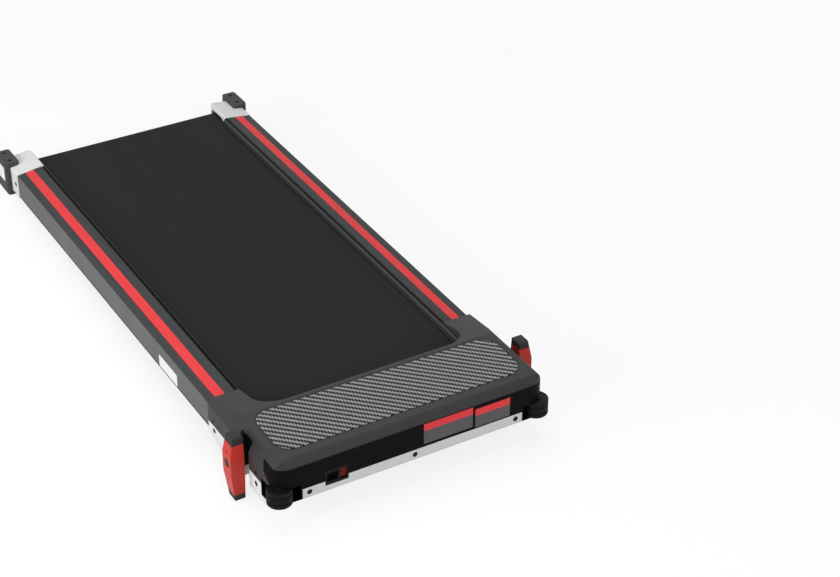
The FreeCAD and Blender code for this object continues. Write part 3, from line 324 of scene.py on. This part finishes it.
def belt_face():
    material, shader = new_finish("belt_face", specular=0.08)
    rubs = cloudy(material, pad_coordinates(material, rub_stretch), detail=3.0)
    base = mottle(material, rubs, belt_black, darker=0.9, lighter=1.12, high=0.72)
    join(material, base, shader.inputs["Base Color"])
    vary_roughness(material, shader, rubs, smoothest=0.66, roughest=0.8)
    pebble_inputs = {"Vector": pad_coordinates(material), "Scale": 1.0 / pebble_size}
    pebbles = add_node(material, "TexVoronoi", pebble_inputs).outputs["Distance"]
    set_grain(material, shader, pebbles, depth=0.00025, normal=soft_normal(material, belt_edge_round))
    return material


coat_nodes(belt_face(), "walking_belt")

# Massage nubs: soft teal domes moulded on flat rims and bonded to the belt's lower run.
# The rim is a darker teal than the dome, and the domes have a slight sheen.
nub_teal = (0.36, 0.86, 0.80)
rim_teal = (0.03, 0.20, 0.19)
rim_end_z = -0.0229
dome_begin_z = -0.0234
nub_patch_scale = 60.0
nub_edge_round = 0.0005


def nub_rubber():
    material, shader = new_finish("nub_rubber", specular=0.4, rough=0.45)
    coords = pad_coordinates(material)
    height = add_node(material, "SeparateXYZ", {"Vector": coords}).outputs["Z"]
    on_dome = map_range(material, height, rim_end_z, dome_begin_z)
    patches = cloudy(material, coords, nub_patch_scale)
    teal = mottle(material, patches, nub_teal, darker=0.92, lighter=1.0)
    base = mix_colours(material, on_dome, opaque(rim_teal), teal)
    join(material, base, shader.inputs["Base Color"])
    set_grain(material, shader, patches, depth=0.0002, normal=soft_normal(material, nub_edge_round))
    return material


coat_nodes(nub_rubber(), "massage_nubs")

# Rollers, axles, bearings, shafts and bolts: turned steel, bright and faintly lined round its axis.
# The rollers turn on bearings on fixed axles; the rear axle is drawn back by two tension bolts.
steel_grey = (0.52, 0.52, 0.53)
steel_line_stretch = (900.0, 30.0, 30.0)
steel_edge_round = 0.0006


def turned_steel():
    material, shader = new_finish("turned_steel")
    shader.inputs["Metallic"].default_value = 1.0
    lines = cloudy(material, pad_coordinates(material, steel_line_stretch), detail=3.0)
    base = mottle(material, lines, steel_grey, darker=0.82, lighter=1.12)
    join(material, base, shader.inputs["Base Color"])
    vary_roughness(material, shader, lines, smoothest=0.26, roughest=0.4)
    set_grain(material, shader, lines, depth=0.00005, normal=soft_normal(material, steel_edge_round))
    return material


coat_nodes(
    turned_steel(), "front_roller", "front_axle", "front_roller_bearings", "rear_roller", "rear_axle",
    "rear_roller_bearings", "tension_bolts", "motor_shaft", "motor_pulley",
)

# Rear caps: pale grey moulded plastic that closes each rail and carries the rear axle's end.
# A fine spark texture dulls them, and the edges of the roller recess stay sharp.
cap_pale = (0.68, 0.679, 0.686)
cap_plastic = grained_finish(
    "cap_plastic", cap_pale, rough=0.45, grain_size=0.0010, grain_depth=0.00008, edge_round=0.0012,
    edge_wear_and_highlight=1.06, specular=0.45, patch=0.03,
)
coat_nodes(cap_plastic, "left_rear_cap", "right_rear_cap")

# Rear feet: blocks of dark grey rubber in the caps' outer corners, with two blind holes above and below.
# The left one carries a plain white plate on its outer face, and the left rail one like it.
foot_grey = (0.043, 0.043, 0.044)
foot_rubber = grained_finish(
    "foot_rubber", foot_grey, rough=0.62, grain_size=0.0011, grain_depth=0.00022, edge_round=0.0016,
    edge_wear_and_highlight=1.5, specular=0.22,
)
coat_nodes(foot_rubber, "left_rear_foot", "right_rear_foot")
plate_white = (0.80, 0.79, 0.78)
plate_fibre_scale = 900.0
plate_patch_scale = 40.0
plate_edge_round = 0.0003
plate_thickness = 0.0004
plate_lift = 0.0001
plate_corner = 0.002
plate_corner_steps = 5
foot_plate_y = 0.972
foot_plate_z = 0.006
foot_plate_size = (0.044, 0.032)
rail_plate_y = 0.171
rail_plate_z = -0.0092
rail_plate_size = (0.076, 0.0246)


def plate_paper(name, colour):
    material, shader = new_finish(name, specular=0.4)
    coords = pad_coordinates(material)
    fibres = cloudy(material, coords, plate_fibre_scale, detail=3.0)
    patches = cloudy(material, coords, plate_patch_scale)
    base = mottle(material, patches, colour, darker=0.95, lighter=1.0)
    join(material, base, shader.inputs["Base Color"])
    vary_roughness(material, shader, patches, smoothest=0.34, roughest=0.46)
    set_grain(material, shader, fibres, depth=0.00003, normal=soft_normal(material, plate_edge_round))
    return material


def new_piece(name, shape, material):
    mesh = bpy.data.meshes.new(name)
    shape.to_mesh(mesh)
    shape.free()
    mesh.materials.append(material)
    piece = bpy.data.objects.new(name, mesh)
    bpy.context.scene.collection.objects.link(piece)
    return piece


def add_plate(name, material, centre, size, corner, faces_left):
    width, height = size
    shape = bmesh.new()
    bmesh.ops.create_cube(shape, size=1.0)
    bmesh.ops.scale(shape, vec=(width, plate_thickness, height), verts=shape.verts)
    corner_edges = []
    for edge in shape.edges:
        first, second = edge.verts
        if abs(first.co.y - second.co.y) > plate_thickness / 2:
            corner_edges.append(edge)
    bmesh.ops.bevel(
        shape, geom=corner_edges, offset=corner, segments=plate_corner_steps, profile=0.5,
        affect="EDGES", material=-1,
    )
    if faces_left:
        bmesh.ops.rotate(shape, matrix=Matrix.Rotation(-math.pi / 2, 3, "Z"), verts=shape.verts)
    bmesh.ops.translate(shape, vec=centre, verts=shape.verts)
    bmesh.ops.transform(shape, matrix=pad_to_floor, verts=shape.verts)
    plate = new_piece(name, shape, material)
    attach(plate, "pad")
    return plate


white_plate = plate_paper("white_plate", plate_white)
foot_plate_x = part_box("left_rear_foot")[0].x + plate_thickness / 2 - plate_lift
foot_plate_centre = (foot_plate_x, foot_plate_y, foot_plate_z)
foot_plate = add_plate(
    "foot_plate", white_plate, foot_plate_centre, foot_plate_size, plate_corner, faces_left=True
)
rail_plate_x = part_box("left_side_rail")[0].x - plate_thickness / 2 - plate_lift
rail_plate_centre = (rail_plate_x, rail_plate_y, rail_plate_z)
rail_plate = add_plate(
    "rail_plate", white_plate, rail_plate_centre, rail_plate_size, plate_corner, faces_left=True
)

# Motor hood: satin dark grey moulding over the motor, open towards the belt in a rounded bay.
# The leg hubs sit in pockets in its sides, and screws hold it to the frame.
hood_grey = (0.0355, 0.0357, 0.036)
# Its edges are painted a little paler over a wide band, a painted highlight along its creases.
hood_plastic = grained_finish(
    "hood_plastic", hood_grey, rough=0.46, grain_size=0.0009, grain_depth=0.00006, edge_round=0.0032,
    edge_wear_and_highlight=1.15, specular=0.13, patch=0.07,
)
coat_nodes(hood_plastic, "motor_hood")

# Front fascia, leg hubs and wheel housings: deep black plastic, smoother than the hood.
# The fascia wraps the front below the hood's bevel, and the housings hold the corner wheels.
# Two bare plates are stuck to the fascia's right half, each a grey field under a red band.
fascia_black = (0.0032, 0.0032, 0.0034)
fascia_plastic = grained_finish(
    "fascia_plastic", fascia_black, rough=0.5, grain_size=0.0008, grain_depth=0.00004, edge_round=0.0012,
    edge_wear_and_highlight=2.0, specular=0.05,
)
coat_nodes(
    fascia_plastic, "front_fascia", "left_leg_hub", "right_leg_hub", "left_wheel_housing",
    "right_wheel_housing",
)
plate_red = (0.80, 0.035, 0.045)
plate_grey = (0.085, 0.080, 0.082)
front_face_y = -0.2487
fascia_plate_y = front_face_y - plate_thickness / 2
fascia_plate_corner = 0.0006
band_height = 0.0138
red_band = plate_paper("red_band", plate_red)
grey_field = plate_paper("grey_field", plate_grey)
for side, plate_x, plate_width, plate_low, plate_top in (
    ("left", 0.0643, 0.0955, -0.001, 0.0395),
    ("right", 0.1515, 0.069, -0.004, 0.0335),
):
    band_centre = (plate_x, fascia_plate_y, plate_top - band_height / 2)
    band_size = (plate_width, band_height)
    field_height = plate_top - band_height - plate_low
    field_centre = (plate_x, fascia_plate_y, plate_low + field_height / 2)
    field_size = (plate_width, field_height)
    band = add_plate(
        side + "_plate_band", red_band, band_centre, band_size, fascia_plate_corner, faces_left=False
    )
    field = add_plate(
        side + "_plate_field", grey_field, field_centre, field_size, fascia_plate_corner, faces_left=False
    )

# Hood panel: a satin inlay with a printed twill pattern, let into the flat of the hood.
# Pale rope-like bands run slantwise over a dark ground, each band's edge stepping like a weave.
twill_pale = (0.272, 0.272, 0.274)
twill_dark = (0.010, 0.010, 0.0105)
twill_pitch = 0.0108
twill_step = 0.0060
twill_sway = 0.0032
twill_turn = math.radians(45.0)
twill_edge_round = 0.0004
twill_coat = 0.03
twill_coat_rough = 0.3
thread_stretch = (700.0, 90.0, 90.0)
ground_until = 0.44
band_from = 0.58
mask_off = (0.0, 0.0, 0.0)
mask_on = (1.0, 1.0, 1.0)


def twill_inlay(name, pale):
    material, shader = new_finish(name, specular=0.1, rough=0.44)
    place = add_node(material, "SeparateXYZ", {"Vector": pad_coordinates(material, turn=twill_turn)})
    steps = compute(material, "PINGPONG", place.outputs["X"], twill_step / 2)
    sway = compute(material, "MULTIPLY", steps, twill_sway / (twill_step / 2))
    across = compute(material, "ADD", place.outputs["Y"], sway)
    bands = compute(material, "PINGPONG", across, twill_pitch / 2)
    share = map_range(material, bands, 0.0, twill_pitch / 2)
    mask = blend_colours(material, share, [(ground_until, mask_off), (band_from, mask_on)])
    threads = cloudy(material, pad_coordinates(material, thread_stretch, twill_turn), detail=2.0)
    pale_threads = mottle(material, threads, pale, darker=0.8, lighter=1.15)
    base = mix_colours(material, mask, opaque(twill_dark), pale_threads)
    join(material, base, shader.inputs["Base Color"])
    shader.inputs["Coat Weight"].default_value = twill_coat
    shader.inputs["Coat Roughness"].default_value = twill_coat_rough
    set_grain(material, shader, share, depth=0.0001, normal=soft_normal(material, twill_edge_round))
    return material


coat_nodes(twill_inlay("twill_inlay", twill_pale), "hood_panel")

# Bottom cover: light grey moulding under the motor, with a ramp down to the belt's lower run.
# A pale strip lies on the ramp, and a dark inlay with the same twill frames it.
cover_grey = (0.68, 0.68, 0.685)
strip_pale = (0.74, 0.74, 0.73)
dark_twill_share = 0.28
cover_plastic = grained_finish(
    "cover_plastic", cover_grey, rough=0.46, grain_size=0.0010, grain_depth=0.00008, edge_round=0.0012,
    edge_wear_and_highlight=1.08, specular=0.45, patch=0.03,
)
coat_nodes(cover_plastic, "bottom_cover")
coat_nodes(plate_paper("ramp_face", strip_pale), "ramp_strip")
coat_nodes(twill_inlay("dark_inlay", shade(twill_pale, dark_twill_share)), "bottom_panel")

# Drive: a black motor can in its cradle, a fan and a roller pulley of glass-filled plastic, and the
# controller's finned box beside it. The hood hides all of it. The rear axle's blocks are that plastic too.
can_black = (0.02, 0.02, 0.022)
can_paint = grained_finish(
    "can_paint", can_black, rough=0.35, grain_size=0.0015, grain_depth=0.00008, edge_round=0.001, edge_wear_and_highlight=2.0
)
coat_nodes(can_paint, "drive_motor", "motor_controller")
plastic_black = (0.005, 0.005, 0.0053)
black_plastic = grained_finish(
    "black_plastic", plastic_black, rough=0.5, grain_size=0.0008, grain_depth=0.00006, edge_round=0.001,
    edge_wear_and_highlight=2.2, specular=0.12,
)
coat_nodes(black_plastic, "motor_fan", "roller_pulley", "left_axle_block", "right_axle_block")

# Power inlet: a black moulding in the front face with an open two-pin socket and a rocker switch.
# The rocker is dark red plastic that tips on a moulded pin.
coat_nodes(black_plastic, "power_inlet")
rocker_red = (0.14, 0.007, 0.009)
rocker_plastic = grained_finish(
    "rocker_plastic", rocker_red, rough=0.4, grain_size=0.002, grain_depth=0.00002, edge_round=0.0008,
    edge_wear_and_highlight=1.3, specular=0.12,
)
coat_nodes(rocker_plastic, "power_rocker")

# Legs: red painted bars that swing on a bolt beside each pocket, with rubber ends that meet the floor.
# The paint is satin, rubbed brighter on the edges, with a fine leather grain.
leg_red = (0.50, 0.034, 0.024)
leg_paint = grained_finish(
    "leg_paint", leg_red, rough=0.45, grain_size=0.0012, grain_depth=0.00012, edge_round=0.0016,
    edge_wear_and_highlight=1.3, specular=0.25,
)
coat_nodes(leg_paint, "left_leg", "right_leg")
leg_end_black = (0.026, 0.024, 0.0245)
leg_rubber = grained_finish(
    "leg_rubber", leg_end_black, rough=0.62, grain_size=0.001, grain_depth=0.0002, edge_round=0.0014,
    edge_wear_and_highlight=1.6, specular=0.18,
)
coat_nodes(leg_rubber, "left_leg_pads", "right_leg_pads")
bolt_black = (0.006, 0.006, 0.0062)
bolt_paint = grained_finish(
    "bolt_paint", bolt_black, rough=0.45, grain_size=0.0008, grain_depth=0.00004, edge_round=0.0006,
    edge_wear_and_highlight=2.0, specular=0.2,
)
coat_nodes(bolt_paint, "leg_pivot_bolts")

# Corner wheels: grooved black rollers that keep the pad off walls and roll it when it stands on end.
# Hard plastic, scuffed grey on the ribs between their grooves, on blackened steel axles.
wheel_black = (0.0045, 0.0045, 0.0047)
wheel_plastic = grained_finish(
    "wheel_plastic", wheel_black, rough=0.55, grain_size=0.001, grain_depth=0.0001, edge_round=0.001,
    edge_wear_and_highlight=1.8, specular=0.12,
)
coat_nodes(wheel_plastic, "left_corner_wheel", "right_corner_wheel")
coat_nodes(bolt_paint, "wheel_axles")

# Screws: black socket screws that hold the hood and cover, and one in each rear cap.
# Each head has a rounded rim and a hexagonal socket, and its shank goes into the frame behind.
screw_black = (0.006, 0.006, 0.0063)
screw_paint = grained_finish(
    "screw_paint", screw_black, rough=0.42, grain_size=0.0006, grain_depth=0.00003, edge_round=0.0004,
    edge_wear_and_highlight=2.2, specular=0.3,
)
screw_head_radius = 0.005
screw_shank_radius = 0.0025
screw_sides = 24
screw_rim_round = 0.0006
screw_rim_steps = 3
socket_apothem = 0.0022
socket_depth = 0.0015
hexagon_side_angle = math.pi / 3
shell_face_x = 0.2625
shell_head_length = 0.002
shell_shank_length = 0.011
front_screws_x = (-0.1986, 0.0, 0.1986)
front_screws_z = -0.0166
side_screws_yz = ((-0.020, 0.002), (-0.182, 0.002), (-0.022, -0.0165), (-0.181, -0.0205))
cap_face_x = 0.2615
cap_screw_y = 0.913
cap_head_length = 0.0026
cap_shank_length = 0.016
to_right = Matrix.Rotation(math.pi / 2, 4, "Y")
to_left = Matrix.Rotation(-math.pi / 2, 4, "Y")
to_front = Matrix.Rotation(math.pi / 2, 4, "X")


def verts_of(parts):
    return [part for part in parts if isinstance(part, bmesh.types.BMVert)]


def draw_screw(shape, head_length, shank_length):
    bmesh.ops.create_circle(shape, cap_ends=True, segments=screw_sides, radius=screw_head_radius)
    face = shape.faces[:][0]
    rim = shape.edges[:]
    walls = bmesh.ops.extrude_edge_only(shape, edges=rim)["geom"]
    low_verts = verts_of(walls)
    bmesh.ops.translate(shape, vec=(0.0, 0.0, -head_length), verts=low_verts)
    wall_edges = [part for part in walls if isinstance(part, bmesh.types.BMEdge)]
    low_edges = [edge for edge in wall_edges if all(vert in low_verts for vert in edge.verts)]
    back = bmesh.ops.contextual_create(shape, geom=low_edges)["faces"]
    bmesh.ops.inset_region(shape, faces=back, thickness=screw_head_radius - screw_shank_radius)
    shank = bmesh.ops.extrude_face_region(shape, geom=back)["geom"]
    bmesh.ops.translate(shape, vec=(0.0, 0.0, head_length - shank_length), verts=verts_of(shank))
    bmesh.ops.delete(shape, geom=back, context="FACES_ONLY")
    bmesh.ops.inset_region(shape, faces=[face], thickness=screw_head_radius - socket_apothem)
    for vert in face.verts:
        angle = math.atan2(vert.co.y, vert.co.x)
        reach = socket_apothem / math.cos(angle % hexagon_side_angle - hexagon_side_angle / 2)
        vert.co.x = reach * math.cos(angle)
        vert.co.y = reach * math.sin(angle)
    socket = bmesh.ops.extrude_face_region(shape, geom=[face])["geom"]
    bmesh.ops.translate(shape, vec=(0.0, 0.0, -socket_depth), verts=verts_of(socket))
    bmesh.ops.delete(shape, geom=[face], context="FACES_ONLY")
    bmesh.ops.bevel(
        shape, geom=rim, offset=screw_rim_round, segments=screw_rim_steps, profile=0.5,
        affect="EDGES", material=-1,
    )
    bmesh.ops.recalc_face_normals(shape, faces=shape.faces)


def add_screws(name, node, head_length, shank_length, places):
    shape = bmesh.new()
    draw_screw(shape, head_length, shank_length)
    pattern = shape.verts[:] + shape.edges[:] + shape.faces[:]
    for turn, place in places:
        copied = bmesh.ops.duplicate(shape, geom=pattern)["geom"]
        to_place = pad_to_floor @ Matrix.Translation(place) @ turn
        bmesh.ops.transform(shape, matrix=to_place, verts=verts_of(copied))
    bmesh.ops.delete(shape, geom=verts_of(pattern), context="VERTS")
    screws = new_piece(name, shape, screw_paint)
    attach(screws, "pad")
    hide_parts(node)


shell_places = [(to_front, (spot_x, front_face_y, front_screws_z)) for spot_x in front_screws_x]
for spot_y, spot_z in side_screws_yz:
    shell_places.append((to_right, (shell_face_x, spot_y, spot_z)))
    shell_places.append((to_left, (-shell_face_x, spot_y, spot_z)))
add_screws("shell_screws", "cover_screws", shell_head_length, shell_shank_length, shell_places)
cap_places = [(to_right, (cap_face_x, cap_screw_y, 0.0)), (to_left, (-cap_face_x, cap_screw_y, 0.0))]
add_screws("rear_cap_screws", "cap_screws", cap_head_length, cap_shank_length, cap_places)

# Studio: a wide pale floor that keeps the pad's shadow and turns white away from it, under soft light
# from the front, left and above. The left lamp isn't mirrored, so that it doesn't glare on the hood.
# The camera stands where the photograph was taken from, set out on the level pad.
white = (1.0, 1.0, 1.0)
floor_half = 9.0
floor_tone = (0.30, 0.30, 0.30)
floor_seen_tone = (0.97, 0.97, 0.97)
floor_cloud_scale = 0.8
floor_glow_share = 0.79
shadow_reach = 1.0
white_reach = 2.4
pad_middle = (cad_low + cad_high) / 2
sky_strength = 0.22


def seeing_rays(owner):
    path = add_node(owner, "LightPath", {}).outputs
    direct_or_glossy = compute(owner, "MAXIMUM", path["Is Camera Ray"], path["Is Glossy Ray"])
    return compute(owner, "MAXIMUM", direct_or_glossy, path["Is Transmission Ray"])


def studio_floor():
    material, shader = new_finish("studio_floor", specular=0.1, rough=0.9)
    coords = add_node(material, "TexCoord", {}).outputs["Object"]
    clouds = cloudy(material, coords, floor_cloud_scale)
    by_camera = add_node(material, "LightPath", {}).outputs["Is Camera Ray"]
    seen_tone = mottle(material, clouds, floor_seen_tone, darker=0.99, lighter=1.0)
    tone = mix_colours(material, by_camera, opaque(floor_tone), seen_tone)
    join(material, tone, shader.inputs["Base Color"])
    spread = add_node(material, "VectorMath", {0: coords, 1: pad_middle}, operation="DISTANCE")
    whiteness = map_range(material, spread.outputs["Value"], shadow_reach, white_reach, floor_glow_share, 1.0)
    share = compute(material, "MULTIPLY", seeing_rays(material), whiteness)
    glow = add_node(material, "Emission", {"Color": opaque(white), "Strength": 1.0})
    surfaces = {0: share, 1: shader.outputs["BSDF"], 2: glow.outputs["Emission"]}
    mixed = add_node(material, "MixShader", surfaces).outputs["Shader"]
    join(material, mixed, material.node_tree.nodes["Material Output"].inputs["Surface"])
    return material


floor_shape = bmesh.new()
bmesh.ops.create_grid(floor_shape, x_segments=1, y_segments=1, size=floor_half)
new_piece("studio_floor", floor_shape, studio_floor())

world = bpy.data.worlds.new("studio_world")
bpy.context.scene.world = world
world.use_nodes = True
sky = world.node_tree.nodes["Background"]
sky.inputs["Color"].default_value = opaque(white)
sky.inputs["Strength"].default_value = sky_strength
backdrop = add_node(world, "Background", {"Color": opaque(white), "Strength": 1.0})
skies = {0: seeing_rays(world), 1: sky.outputs["Background"], 2: backdrop.outputs["Background"]}
mixed_sky = add_node(world, "MixShader", skies).outputs["Shader"]
join(world, mixed_sky, world.node_tree.nodes["World Output"].inputs["Surface"])

lamp_target = Vector((0.0, 0.0, 0.05))


def add_softbox(name, place, size, watts):
    light = bpy.data.lights.new(name, "AREA")
    light.shape = "RECTANGLE"
    light.size, light.size_y = size
    light.energy = watts
    lamp = bpy.data.objects.new(name, light)
    lamp.location = place
    lamp.rotation_mode = "QUATERNION"
    lamp.rotation_quaternion = (lamp_target - Vector(place)).to_track_quat("-Z", "Y")
    bpy.context.scene.collection.objects.link(lamp)
    return lamp


add_softbox("front_softbox", place=(-0.4, -3.0, 1.5), size=(2.6, 1.4), watts=46.0)
left_softbox = add_softbox("left_softbox", place=(-2.6, -0.2, 0.85), size=(2.6, 1.2), watts=64.0)
left_softbox.visible_glossy = False
add_softbox("top_softbox", place=(0.3, 0.4, 2.8), size=(3.0, 3.0), watts=46.0)

photo_width = 840.0
photo_focal_pixels = 2017.08
photo_azimuth = math.radians(-30.3989)
photo_elevation = math.radians(32.8677)
photo_roll = math.radians(0.2141)
photo_place = Vector((-1.3499, -2.5632, 2.0447))
sensor_width = 36.0
camera_right = Vector((math.cos(photo_azimuth), math.sin(photo_azimuth), 0.0))
camera_back = Vector((
    math.sin(photo_azimuth) * math.cos(photo_elevation),
    -math.cos(photo_azimuth) * math.cos(photo_elevation),
    math.sin(photo_elevation),
))
camera_up = camera_back.cross(camera_right)
camera_axes = Matrix((camera_right, camera_up, camera_back)).transposed().to_4x4()
camera_axes = camera_axes @ Matrix.Rotation(photo_roll, 4, "Z")
camera_data = bpy.data.cameras.new("photo_camera")
camera_data.sensor_fit = "HORIZONTAL"
camera_data.sensor_width = sensor_width
camera_data.lens = photo_focal_pixels * sensor_width / photo_width
camera = bpy.data.objects.new("photo_camera", camera_data)
bpy.context.scene.collection.objects.link(camera)
camera.matrix_world = pad_to_floor @ Matrix.Translation(photo_place) @ camera_axes
bpy.context.scene.camera = camera
bpy.context.scene.view_settings.view_transform = "Standard"
